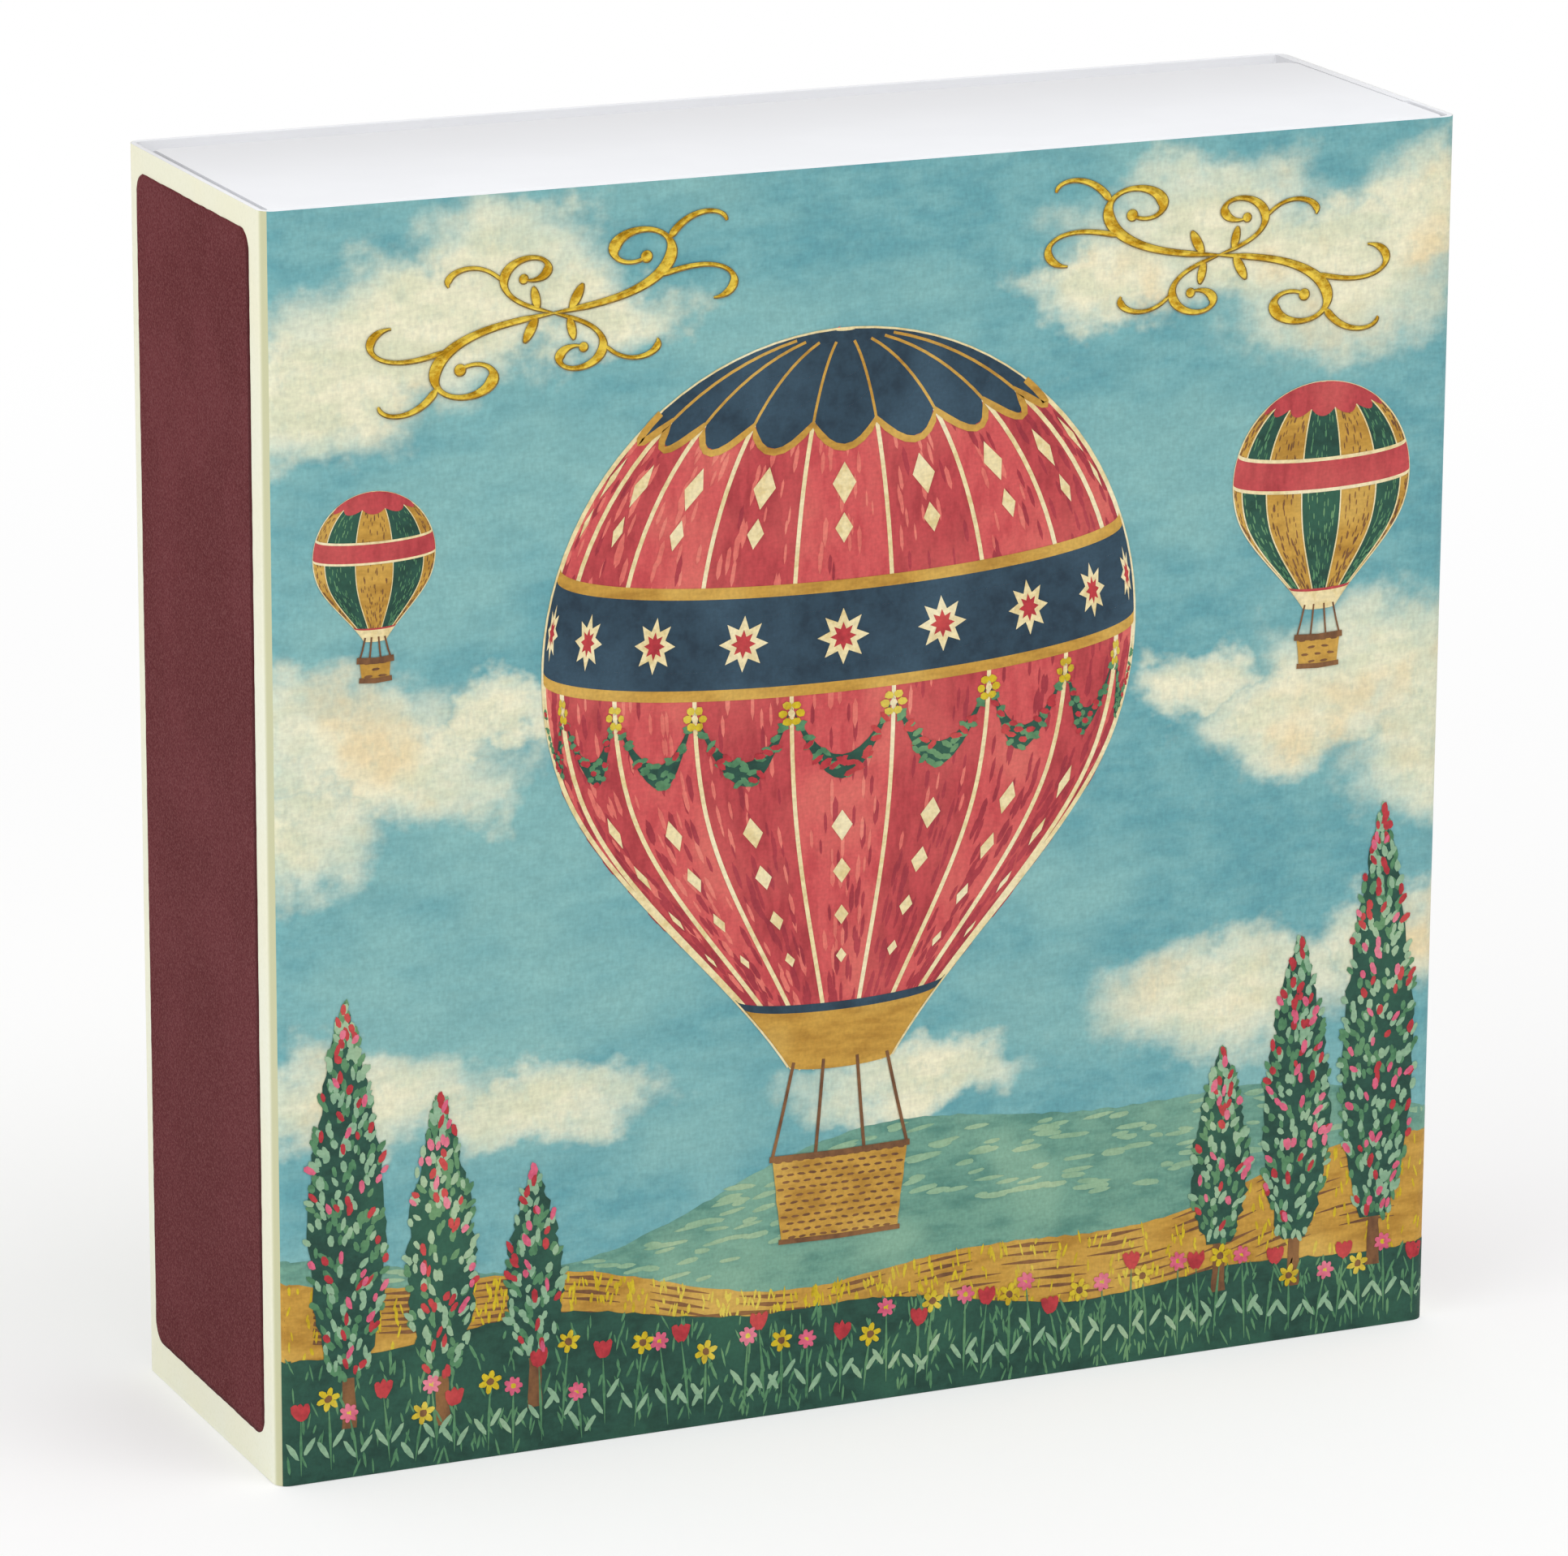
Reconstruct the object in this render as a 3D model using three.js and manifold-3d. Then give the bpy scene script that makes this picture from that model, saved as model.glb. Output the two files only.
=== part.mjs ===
// A square gift matchbox that stands on one end: a printed card sleeve, a folded card tray that slides
// through it, a striker on each narrow side, and long safety matches in the tray.
// Millimetres, +Z up. The origin is the middle of the end that the box stands on. The printed face looks
// along -Y, the tray slides along Z, and the tray's open side is behind the printed face.
import * as THREE from "three";
import { mergeVertices } from "three/addons/utils/BufferGeometryUtils.js";
import Module from "manifold-3d";

const wasm = await Module();
wasm.setup();

// Driving dimensions: the sleeve
const sleeveWidth = 110;
const sleeveDepth = 33;
const sleeveLength = 110;
const sleeveBoard = 0.5;
const sleeveFoldRadius = 1.3;
const glueFlapShortfall = 7;
const seamSetback = 1.6;

// The strikers, coats printed on the two narrow sides
const strikerThickness = 0.15;
const strikerFrontMargin = 3;
const strikerBackMargin = 2.6;
const strikerTopMargin = 2.1;
const strikerBottomMargin = 3.5;
const strikerCornerRadius = 2;

// The tray, one folded sheet with rolled ends, which lies a little towards the glue flap
const trayBoard = 0.5;
const trayClearance = 0.3;
const trayShift = 0.15;
const trayRecess = 0.35;
const trayEndFoldRadius = 3.8;
const traySideFoldRadius = 1;
const trayHemShortfall = 6;
const trayCornerSlit = 0.4;
const trayTabWidth = 14;
const trayTabFoldRadius = 0.9;

// The matches
const stickSide = 2.4;
const headRadius = 1.95;
const headLength = 7.2;
const headGap = 0.1;
const rowGap = 0.1;
const matchSeatGap = 0.1;
const matchHeadRoom = 6.2;
const matchRows = 2;

// Facets
const foldSteps = 6;
const headFacets = 10;

// Sizes that follow from those above
const sleeveInsideLeft = -sleeveWidth / 2 + sleeveBoard;
const sleeveInsideRight = sleeveWidth / 2 - 2 * sleeveBoard;
const trayCentreX = (sleeveInsideLeft + sleeveInsideRight) / 2 + trayShift;
const trayWidth = sleeveInsideRight - sleeveInsideLeft - 2 * trayClearance;
const trayDepth = sleeveDepth - 2 * sleeveBoard - 2 * trayClearance;
const trayBottom = trayRecess;
const trayTop = sleeveLength - trayRecess;
const trayEndThickness = 3 * trayBoard;
const trayInsideWidth = trayWidth - 2 * trayBoard;
const trayFloorInside = trayDepth / 2 - trayBoard;
const matchBottom = trayBottom + trayEndThickness + matchSeatGap;
const matchLength = trayTop - trayEndThickness - matchHeadRoom - matchBottom;
const matchPitch = 2 * headRadius + headGap;
const rowPitch = Math.sqrt((2 * headRadius + rowGap) ** 2 - (matchPitch / 2) ** 2);
const matchesAcross = Math.floor(trayInsideWidth / matchPitch);

const printedCard = new THREE.MeshStandardMaterial({ color: 0x6fa9a8, roughness: 0.75, metalness: 0 });
const whiteCard = new THREE.MeshStandardMaterial({ color: 0xf2f2f2, roughness: 0.8, metalness: 0 });
const strikerCoat = new THREE.MeshStandardMaterial({ color: 0x68302f, roughness: 0.65, metalness: 0 });
const aspen = new THREE.MeshStandardMaterial({ color: 0xe3c89a, roughness: 0.8, metalness: 0 });

// A closed geometry as a solid that can be joined and cut.
function toSolid(geometry) {
  const bare = geometry.index ? geometry.toNonIndexed() : geometry.clone();
  bare.deleteAttribute("normal");
  bare.deleteAttribute("uv");
  const merged = mergeVertices(bare, 1e-4);
  return new wasm.Manifold(
    new wasm.Mesh({
      numProp: 3,
      vertProperties: new Float32Array(merged.attributes.position.array),
      triVerts: new Uint32Array(merged.index.array),
    }),
  );
}

// A joined or cut solid as a geometry again.
function toGeometry(solid) {
  const mesh = solid.getMesh();
  const geometry = new THREE.BufferGeometry();
  geometry.setAttribute("position", new THREE.BufferAttribute(new Float32Array(mesh.vertProperties), 3));
  geometry.setIndex(new THREE.BufferAttribute(new Uint32Array(mesh.triVerts), 1));
  const flat = geometry.toNonIndexed();
  flat.computeVertexNormals();
  return flat;
}

function namedMesh(name, geometry, material) {
  const mesh = new THREE.Mesh(geometry, material);
  mesh.name = name;
  return mesh;
}

// A section drawn in X and Y, pulled along Z from bottom to top.
function pulledAlongZ(shape, bottom, top) {
  const geometry = new THREE.ExtrudeGeometry(shape, {
    depth: top - bottom,
    bevelEnabled: false,
    curveSegments: foldSteps,
  });
  return geometry.translate(0, 0, bottom);
}

// A section drawn in Y and Z, pulled along X from left to right.
function pulledAlongX(shape, left, right) {
  const geometry = new THREE.ExtrudeGeometry(shape, {
    depth: right - left,
    bevelEnabled: false,
    curveSegments: foldSteps,
  });
  const turned = new THREE.Matrix4().makeBasis(
    new THREE.Vector3(0, 1, 0),
    new THREE.Vector3(0, 0, 1),
    new THREE.Vector3(1, 0, 0),
  );
  return geometry.applyMatrix4(turned).translate(left, 0, 0);
}

// A rectangle with round corners, between two opposite corners.
function roundRectangle(low, high, radius) {
  const shape = new THREE.Shape();
  shape.moveTo(low.x + radius, low.y);
  shape.lineTo(high.x - radius, low.y);
  shape.absarc(high.x - radius, low.y + radius, radius, -Math.PI / 2, 0);
  shape.lineTo(high.x, high.y - radius);
  shape.absarc(high.x - radius, high.y - radius, radius, 0, Math.PI / 2);
  shape.lineTo(low.x + radius, high.y);
  shape.absarc(low.x + radius, high.y - radius, radius, Math.PI / 2, Math.PI);
  shape.lineTo(low.x, low.y + radius);
  shape.absarc(low.x + radius, low.y + radius, radius, Math.PI, 1.5 * Math.PI);
  return shape;
}

// The sleeve is one sheet folded round four corners. Its glue flap turns in at the back right corner and
// lies inside the right wall, whose cut edge stops just short of that corner.
function makeSleeve() {
  const x = sleeveWidth / 2;
  const y = sleeveDepth / 2;
  const r = sleeveFoldRadius;
  const t = sleeveBoard;
  const section = new THREE.Shape();
  section.moveTo(-x + r, -y);
  section.lineTo(x - r, -y);
  section.absarc(x - r, -y + r, r, -Math.PI / 2, 0);
  section.lineTo(x, y - seamSetback);
  section.lineTo(x - t, y - seamSetback);
  section.lineTo(x - t, y - r);
  section.absarc(x - t - r, y - r, r, 0, Math.PI / 2);
  section.lineTo(-x + r, y);
  section.absarc(-x + r, y - r, r, Math.PI / 2, Math.PI);
  section.lineTo(-x, -y + r);
  section.absarc(-x + r, -y + r, r, Math.PI, 1.5 * Math.PI);

  const inner = r - t;
  const flapEnd = -y + t + glueFlapShortfall;
  const hollow = new THREE.Path();
  hollow.moveTo(-x + r, -y + t);
  hollow.absarc(-x + r, -y + r, inner, 1.5 * Math.PI, Math.PI, true);
  hollow.lineTo(-x + t, y - r);
  hollow.absarc(-x + r, y - r, inner, Math.PI, Math.PI / 2, true);
  hollow.lineTo(x - t - r, y - t);
  hollow.absarc(x - t - r, y - r, inner, Math.PI / 2, 0, true);
  hollow.lineTo(x - 2 * t, flapEnd);
  hollow.lineTo(x - t, flapEnd);
  hollow.lineTo(x - t, -y + r);
  hollow.absarc(x - r, -y + r, inner, 0, -Math.PI / 2, true);
  hollow.lineTo(-x + r, -y + t);
  section.holes.push(hollow);
  return namedMesh("sleeve", pulledAlongZ(section, 0, sleeveLength), printedCard);
}

// A striker is a thin coat with round corners on one narrow side: side is -1 on the left, 1 on the right.
function makeStriker(name, side) {
  const low = new THREE.Vector2(-sleeveDepth / 2 + strikerFrontMargin, strikerBottomMargin);
  const high = new THREE.Vector2(sleeveDepth / 2 - strikerBackMargin, sleeveLength - strikerTopMargin);
  const outline = roundRectangle(low, high, strikerCornerRadius);
  const near = (side * sleeveWidth) / 2;
  const far = near + side * strikerThickness;
  return namedMesh(name, pulledAlongX(outline, Math.min(near, far), Math.max(near, far)), strikerCoat);
}

// The outline of the tray's ends and floor seen from the side, filled in.
function traySideOutline() {
  const front = -trayDepth / 2;
  const back = trayDepth / 2;
  const r = trayEndFoldRadius;
  const outline = new THREE.Shape();
  outline.moveTo(front, trayBottom);
  outline.lineTo(back - r, trayBottom);
  outline.absarc(back - r, trayBottom + r, r, -Math.PI / 2, 0);
  outline.lineTo(back, trayTop - r);
  outline.absarc(back - r, trayTop - r, r, 0, Math.PI / 2);
  outline.lineTo(front, trayTop);
  outline.lineTo(front, trayBottom);
  return outline;
}

// The tray's sheet cut along its length: the floor, an end wall folded up from it at each end, and each
// wall rolled over at the rim and back down inside, with a slot for the corner tabs.
function trayLengthSection() {
  const front = -trayDepth / 2;
  const back = trayDepth / 2;
  const t = trayBoard;
  const r = trayEndFoldRadius;
  const hem = trayEndThickness / 2;
  const hemInner = hem - t;
  const hemEnd = back - trayHemShortfall;
  const section = new THREE.Shape();
  section.moveTo(back, trayBottom + r);
  section.lineTo(back, trayTop - r);
  section.absarc(back - r, trayTop - r, r, 0, Math.PI / 2);
  section.lineTo(front + hem, trayTop);
  section.absarc(front + hem, trayTop - hem, hem, Math.PI / 2, 1.5 * Math.PI);
  section.lineTo(hemEnd, trayTop - 2 * hem);
  section.lineTo(hemEnd, trayTop - 2 * hem + t);
  section.lineTo(front + hem, trayTop - 2 * hem + t);
  section.absarc(front + hem, trayTop - hem, hemInner, 1.5 * Math.PI, Math.PI / 2, true);
  section.lineTo(back - r, trayTop - t);
  section.absarc(back - r, trayTop - r, r - t, Math.PI / 2, 0, true);
  section.lineTo(back - t, trayBottom + r);
  section.absarc(back - r, trayBottom + r, r - t, 0, -Math.PI / 2, true);
  section.lineTo(front + hem, trayBottom + t);
  section.absarc(front + hem, trayBottom + hem, hemInner, 1.5 * Math.PI, Math.PI / 2, true);
  section.lineTo(hemEnd, trayBottom + 2 * hem - t);
  section.lineTo(hemEnd, trayBottom + 2 * hem);
  section.lineTo(front + hem, trayBottom + 2 * hem);
  section.absarc(front + hem, trayBottom + hem, hem, Math.PI / 2, 1.5 * Math.PI);
  section.lineTo(back - r, trayBottom);
  section.absarc(back - r, trayBottom + r, r, -Math.PI / 2, 0);
  return section;
}

// One side wall with its two corner tabs, as a sheet seen along Y. side is -1 on the left, 1 on the right.
function traySideWall(side) {
  const t = trayBoard;
  const r = trayTabFoldRadius;
  const low = trayBottom + t;
  const high = trayTop - t;
  const half = trayWidth / 2;
  const wall = new THREE.Shape();
  wall.moveTo(half - trayTabWidth, low);
  wall.lineTo(half - r, low);
  wall.absarc(half - r, low + r, r, -Math.PI / 2, 0);
  wall.lineTo(half, high - r);
  wall.absarc(half - r, high - r, r, 0, Math.PI / 2);
  wall.lineTo(half - trayTabWidth, high);
  wall.lineTo(half - trayTabWidth, high - t);
  wall.lineTo(half - r, high - t);
  wall.absarc(half - r, high - r, r - t, Math.PI / 2, 0, true);
  wall.lineTo(half - t, low + r);
  wall.absarc(half - r, low + r, r - t, 0, -Math.PI / 2, true);
  wall.lineTo(half - trayTabWidth, low + t);
  const rim = -trayDepth / 2 + trayBoard;
  const geometry = new THREE.ExtrudeGeometry(wall, {
    depth: trayDepth / 2 - rim,
    bevelEnabled: false,
    curveSegments: foldSteps,
  });
  const turned = new THREE.Matrix4().makeBasis(
    new THREE.Vector3(1, 0, 0),
    new THREE.Vector3(0, 0, 1),
    new THREE.Vector3(0, -1, 0),
  );
  geometry.applyMatrix4(turned).translate(0, trayDepth / 2, 0);
  const solid = toSolid(geometry);
  return side > 0 ? solid : solid.mirror([1, 0, 0]);
}

// The tray is made round X = 0 and then moved to the middle of the sleeve's free width.
function makeTray() {
  const half = trayWidth / 2;
  const endHalf = half - trayCornerSlit;
  const ends = toSolid(pulledAlongX(trayLengthSection(), -endHalf, endHalf));
  const inSide = toSolid(pulledAlongX(traySideOutline(), -half, half));
  const walls = traySideWall(-1).add(traySideWall(1)).intersect(inSide);
  const front = -trayDepth / 2;
  const back = trayDepth / 2;
  const r = traySideFoldRadius;
  const floorStrip = new THREE.Shape();
  floorStrip.moveTo(-half, front);
  floorStrip.lineTo(half, front);
  floorStrip.lineTo(half, back - r);
  floorStrip.absarc(half - r, back - r, r, 0, Math.PI / 2);
  floorStrip.lineTo(-half + r, back);
  floorStrip.absarc(-half + r, back - r, r, Math.PI / 2, Math.PI);
  const folded = toSolid(pulledAlongZ(floorStrip, trayBottom, trayTop));
  const sheet = ends.add(walls).intersect(folded).translate([trayCentreX, 0, 0]);
  return namedMesh("tray", toGeometry(sheet), whiteCard);
}

// One match upright at the origin: a square splint with its dipped head at the upper end.
function matchSolid() {
  const splintLength = matchLength - headLength / 2;
  const splint = new THREE.BoxGeometry(stickSide, stickSide, splintLength);
  splint.translate(0, 0, splintLength / 2);
  const outline = [
    [0, 0],
    [stickSide / 2, 0],
    [headRadius * 0.9, headLength * 0.25],
    [headRadius, headLength * 0.52],
    [headRadius * 0.88, headLength * 0.78],
    [headRadius * 0.5, headLength * 0.95],
    [0, headLength],
  ].map(([across, up]) => new THREE.Vector2(across, up));
  const head = new THREE.LatheGeometry(outline, headFacets);
  head.rotateX(Math.PI / 2).translate(0, 0, matchLength - headLength);
  return toSolid(splint).add(toSolid(head));
}

// Where each match of a row stands. Every other row is shifted by half a pitch and is one match shorter.
function rowPlaces(row) {
  const count = matchesAcross - (row % 2);
  const y = trayFloorInside - headRadius - rowGap - row * rowPitch;
  const places = [];
  for (let i = 0; i < count; i += 1) {
    places.push([trayCentreX + (i - (count - 1) / 2) * matchPitch, y, matchBottom]);
  }
  return places;
}

// The matches lie in nested rows on the tray's floor, all heads at the upper end.
function makeMatches() {
  const shape = toGeometry(matchSolid());
  const meshes = [];
  for (let row = 0; row < matchRows; row += 1) {
    for (const place of rowPlaces(row)) {
      const number = String(meshes.length + 1).padStart(2, "0");
      const mesh = namedMesh(`match_${number}`, shape, aspen);
      mesh.position.set(...place);
      meshes.push(mesh);
    }
  }
  return meshes;
}

const matchbox = new THREE.Group();
matchbox.add(makeSleeve(), makeStriker("striker_left", -1), makeStriker("striker_right", 1));
const drawer = new THREE.Group();
drawer.add(makeTray(), ...makeMatches());
matchbox.add(drawer);

export default matchbox;
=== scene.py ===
import math
import random

import bmesh
import bpy
from mathutils import Matrix, Vector


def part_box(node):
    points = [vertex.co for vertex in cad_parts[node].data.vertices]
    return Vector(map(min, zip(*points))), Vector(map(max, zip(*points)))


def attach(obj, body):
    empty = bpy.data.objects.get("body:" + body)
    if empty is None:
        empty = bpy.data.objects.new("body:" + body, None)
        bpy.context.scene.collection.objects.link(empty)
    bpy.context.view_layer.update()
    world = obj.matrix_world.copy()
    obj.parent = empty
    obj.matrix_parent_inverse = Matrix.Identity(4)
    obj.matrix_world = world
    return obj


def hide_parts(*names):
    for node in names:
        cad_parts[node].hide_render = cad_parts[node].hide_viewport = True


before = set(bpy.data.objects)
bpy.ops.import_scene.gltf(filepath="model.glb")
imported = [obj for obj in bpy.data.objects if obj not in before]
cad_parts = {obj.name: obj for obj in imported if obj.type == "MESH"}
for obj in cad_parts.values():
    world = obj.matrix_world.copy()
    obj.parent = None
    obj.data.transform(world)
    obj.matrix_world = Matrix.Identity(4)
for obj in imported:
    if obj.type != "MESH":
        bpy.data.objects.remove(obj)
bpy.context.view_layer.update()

# Sizes are in millimetres, as in the CAD model. MM turns them to metres.
MM = 0.001
PER_METRE = 1000.0
WIDTH, DEPTH, HEIGHT = 110.0, 33.0, 110.0
BOARD = 0.5
FOLD = 1.3
FLAT = WIDTH / 2 - FOLD
QUARTER = FOLD * math.pi / 2

# The print: how high the first ink lies above the card, how much higher each next colour and touch may lie,
# how much a foil stroke rises over half its width, where the print ends round the left fold, and how far a
# brush goes to each side. The dot screen is near one pixel of the render, and is drawn as fine grain.
INK = 0.012
LAYER = 0.007
TOUCH = 0.0065
ROUND = 0.12
PRINT_START = -(FLAT + FOLD * math.radians(34.7))
BRUSH_LEFT, BRUSH_RIGHT = -54.3, 54.6
PRINT_LEFT, PRINT_RIGHT = -54.45, 54.9
DOT_SCREEN = 0.26
rng = random.Random(11)


# Colours and nodes
def linear(code):
    """An sRGB hex colour as the linear colour that a shader takes."""
    out = []
    for i in (0, 2, 4):
        c = int(code[i:i + 2], 16) / 255
        out.append(c / 12.92 if c <= 0.04045 else ((c + 0.055) / 1.055) ** 2.4)
    return (*out, 1.0)


def add(tree, kind, links, out=0, **settings):
    """Adds one shader node and gives one of its outputs. links map an input to a value, a hex colour or
    another output. settings are the node's own properties."""
    node = tree.nodes.new("ShaderNode" + kind)
    for key, value in settings.items():
        setattr(node, key, value)
    for key, value in links.items():
        if isinstance(value, bpy.types.NodeSocket):
            tree.links.new(value, node.inputs[key])
        else:
            node.inputs[key].default_value = linear(value) if isinstance(value, str) else value
    return node.outputs[out]


class Finish:
    """The finish of one material, laid up tone by tone on a Principled shader."""

    def __init__(self, name, roughness, specular, metallic=0.0):
        self.material = bpy.data.materials.new(name)
        self.material.use_nodes = True
        self.tree = self.material.node_tree
        self.shader = self.tree.nodes["Principled BSDF"]
        start = {"Roughness": roughness, "Specular IOR Level": specular, "Metallic": metallic}
        for key, value in start.items():
            self.shader.inputs[key].default_value = value
        self.place = self.add("TexCoord", {}, "Object")

    def add(self, kind, links, out=0, **settings):
        return add(self.tree, kind, links, out, **settings)

    def mottle(self, size, detail=3.0):
        """A pattern of blotches that measure size, or (x, y, z), millimetres, from about 0 to 1."""
        size = (size,) * 3 if isinstance(size, (int, float)) else size
        scale = tuple(PER_METRE / s for s in size)
        scaled = self.add("VectorMath", {0: self.place, 1: scale}, operation="MULTIPLY")
        links = {"Vector": scaled, "Scale": 1.0, "Detail": detail, "Roughness": 0.55}
        return self.add("TexNoise", links, "Fac")

    def along(self, axis):
        """How many millimetres along the X, Y or Z axis."""
        metres = self.add("SeparateXYZ", {0: self.place}, axis)
        return self.add("Math", {0: metres, 1: PER_METRE}, operation="MULTIPLY")

    def tint(self, tone, colour, share, *reaches):
        """Lays a colour over a tone. A reach is (pattern, low, high, least): the colour grows softly from
        least, or nothing, where the pattern is at low to its full share at high. Reaches multiply."""
        amount = None
        for pattern, low, high, *least in reaches:
            links = {"Value": pattern, "From Min": low, "From Max": high}
            links["To Min"] = least[0] if least else 0.0
            if amount is None:
                amount = self.add("MapRange", {**links, "To Max": share}, interpolation_type="SMOOTHSTEP")
            else:
                reach = self.add("MapRange", {**links, "To Max": 1.0}, interpolation_type="SMOOTHSTEP")
                amount = self.add("Math", {0: amount, 1: reach}, operation="MULTIPLY")
        return self.add("Mix", {0: amount, 6: tone, 7: colour}, 2, data_type="RGBA")

    def done(self, tone, relief=None, height=0.0, strength=1.0, rough=None):
        """Puts the tone on the shader, a pattern as relief of that height in millimetres, and, as rough,
        (pattern, low, high, roughness at low, roughness at high)."""
        self.tree.links.new(tone, self.shader.inputs["Base Color"])
        if relief:
            links = {"Height": relief, "Distance": height * MM, "Strength": strength}
            self.tree.links.new(self.add("Bump", links), self.shader.inputs["Normal"])
        if rough:
            links = dict(zip(("Value", "From Min", "From Max", "To Min", "To Max"), rough))
            varied = self.add("MapRange", links, interpolation_type="SMOOTHSTEP")
            self.tree.links.new(varied, self.shader.inputs["Roughness"])
        return self.material


# Materials
def print_grain(f, tone, across, contrast):
    """Ends a printed finish with the fine crossed grain of its dot screen, in lightness and in relief."""
    upright = f.mottle((DOT_SCREEN, across, across), 1.0)
    level = f.mottle((across, across, DOT_SCREEN), 1.0)
    weave = f.add("Math", {0: level, 1: upright}, operation="ADD")
    bounds = {"From Min": 0.65, "From Max": 1.35, "To Min": 1.0 - contrast, "To Max": 1.0 + contrast}
    gain = f.add("MapRange", {"Value": weave, **bounds})
    grey = f.add("CombineColor", {0: gain, 1: gain, 2: gain})
    toned = f.add("Mix", {0: 1.0, 6: tone, 7: grey}, 2, data_type="RGBA", blend_type="MULTIPLY")
    return f.done(toned, weave, 0.012, 0.5)


def paper_ink(name, base, dark, light, streak):
    """Matt offset ink on coated box board, from a painted original: brush streaks between a darker and a
    lighter tone."""
    f = Finish(name, 0.62, 0.3)
    tone = f.tint(base, dark, 0.8, (f.mottle(streak, 4.0), 0.62, 0.30))
    tone = f.tint(tone, light, 0.64, (f.mottle(9.0, 2.0), 0.45, 0.72))
    return print_grain(f, tone, 0.5, 0.104)


def sky_ink():
    """Matt ink of a painted sky: teal brushed in several tones, with soft warm clouds in front of it."""
    f = Finish("ink painted sky", 0.62, 0.3)
    where = f.place
    wander = (((140, 140, 170), 4.0, (0.013, 0.0, 0.011)), ((700, 700, 900), 3.0, (0.0032, 0.0, 0.0028)))
    for scale, detail, reach in wander:
        scaled = f.add("VectorMath", {0: f.place, 1: scale}, operation="MULTIPLY")
        drift = f.add("TexNoise", {"Vector": scaled, "Scale": 1.0, "Detail": detail}, "Color")
        centred = f.add("VectorMath", {0: drift, 1: (0.5, 0.5, 0.5)}, operation="SUBTRACT")
        moved = f.add("VectorMath", {0: centred, 1: reach}, operation="MULTIPLY")
        where = f.add("VectorMath", {0: where, 1: moved}, operation="ADD")
    where = f.add("VectorMath", {0: where, 1: (PER_METRE, 0, PER_METRE)}, operation="MULTIPLY")
    cloud, body = 0.0, 0.0
    for x, z, across, up in CLOUDS:
        offset = f.add("VectorMath", {0: where, 1: (x, 0, z)}, operation="SUBTRACT")
        scaled = f.add("VectorMath", {0: offset, 1: (1 / across, 0, 1 / up)}, operation="MULTIPLY")
        far = f.add("VectorMath", {0: scaled}, "Value", operation="LENGTH")
        near = f.add("Math", {0: 1.0, 1: far}, operation="SUBTRACT", use_clamp=True)
        cloud = f.add("Math", {0: cloud, 1: near}, operation="MAXIMUM")
        body = f.add("Math", {0: body, 1: near}, operation="ADD")
    stroke, cross = f.mottle((4.6, 4.6, 1.9), 4.0), f.mottle((0.8, 0.8, 1.3), 4.0)
    tone = f.tint("609da5", "77aeb1", 1.0, (stroke, 0.30, 0.72))
    tone = f.tint(tone, "57939e", 0.35, (cross, 0.50, 0.75))
    tone = f.tint(tone, "92bfb9", 0.5, (f.mottle((22.0, 22.0, 14.0), 2.0), 0.40, 0.66))
    pale = f.tint("d9dabb", "ebe6c8", 1.0, (stroke, 0.34, 0.66))
    pale = f.tint(pale, "e8cf9f", 0.7, (f.mottle(11.0), 0.52, 0.68))
    pale = f.tint(pale, "a9c8c2", 0.55, (body, 0.9, 0.25))
    tone = f.tint(tone, pale, 1.0, (cloud, 0.02, 0.46), (cross, 0.25, 0.5, 0.86))
    return print_grain(f, tone, 0.6, 0.09)


def cream_ink():
    """Flat cream offset ink on box board: almost even, with faint warm bands, and a deeper olive tone on
    the front fold."""
    f = Finish("ink flat cream", 0.6, 0.3)
    tone = f.tint("ecedda", "edecd4", 1.0, (f.mottle((30.0, 9.0, 14.0), 2.0), 0.36, 0.68))
    tone = f.tint(tone, "efe8c6", 0.3, (f.along("Z"), 80.0, 108.0))
    tone = f.tint(tone, "e0e0c4", 0.3, (f.mottle(0.35, 2.0), 0.45, 0.75))
    # A deeper olive tone on the front-left fold.
    tone = f.tint(tone, "c3c39a", 0.9, (f.along("X"), -54.1, -54.4), (f.along("Y"), -15.5, -15.95))
    return f.done(tone, f.mottle(0.3, 2.0), 0.01, 0.5)


def white_card():
    """Uncoated white folding box board: cool white with the faintest fibre mottling and a soft tooth, and
    painted shade that makes it greyer toward the back, only a third as much on the sleeve's back wall."""
    f = Finish("white box board", 0.8, 0.2)
    back = f.along("Y")
    tone = f.tint("edeef1", "eff0f3", 1.0, (f.mottle(9.0, 2.0), 0.35, 0.7))
    tone = f.tint(tone, "e0e1e5", 0.2, (f.mottle(0.45), 0.60, 0.82))
    # Painted shade: greyer toward the back (+Y), cut to a third on the sleeve's back wall.
    tone = f.tint(tone, "dddddf", 0.8, (back, -11.0, 13.0), (back, 15.95, 15.80, 0.3))
    return f.done(tone, f.mottle(0.35), 0.004, 0.4)


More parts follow.
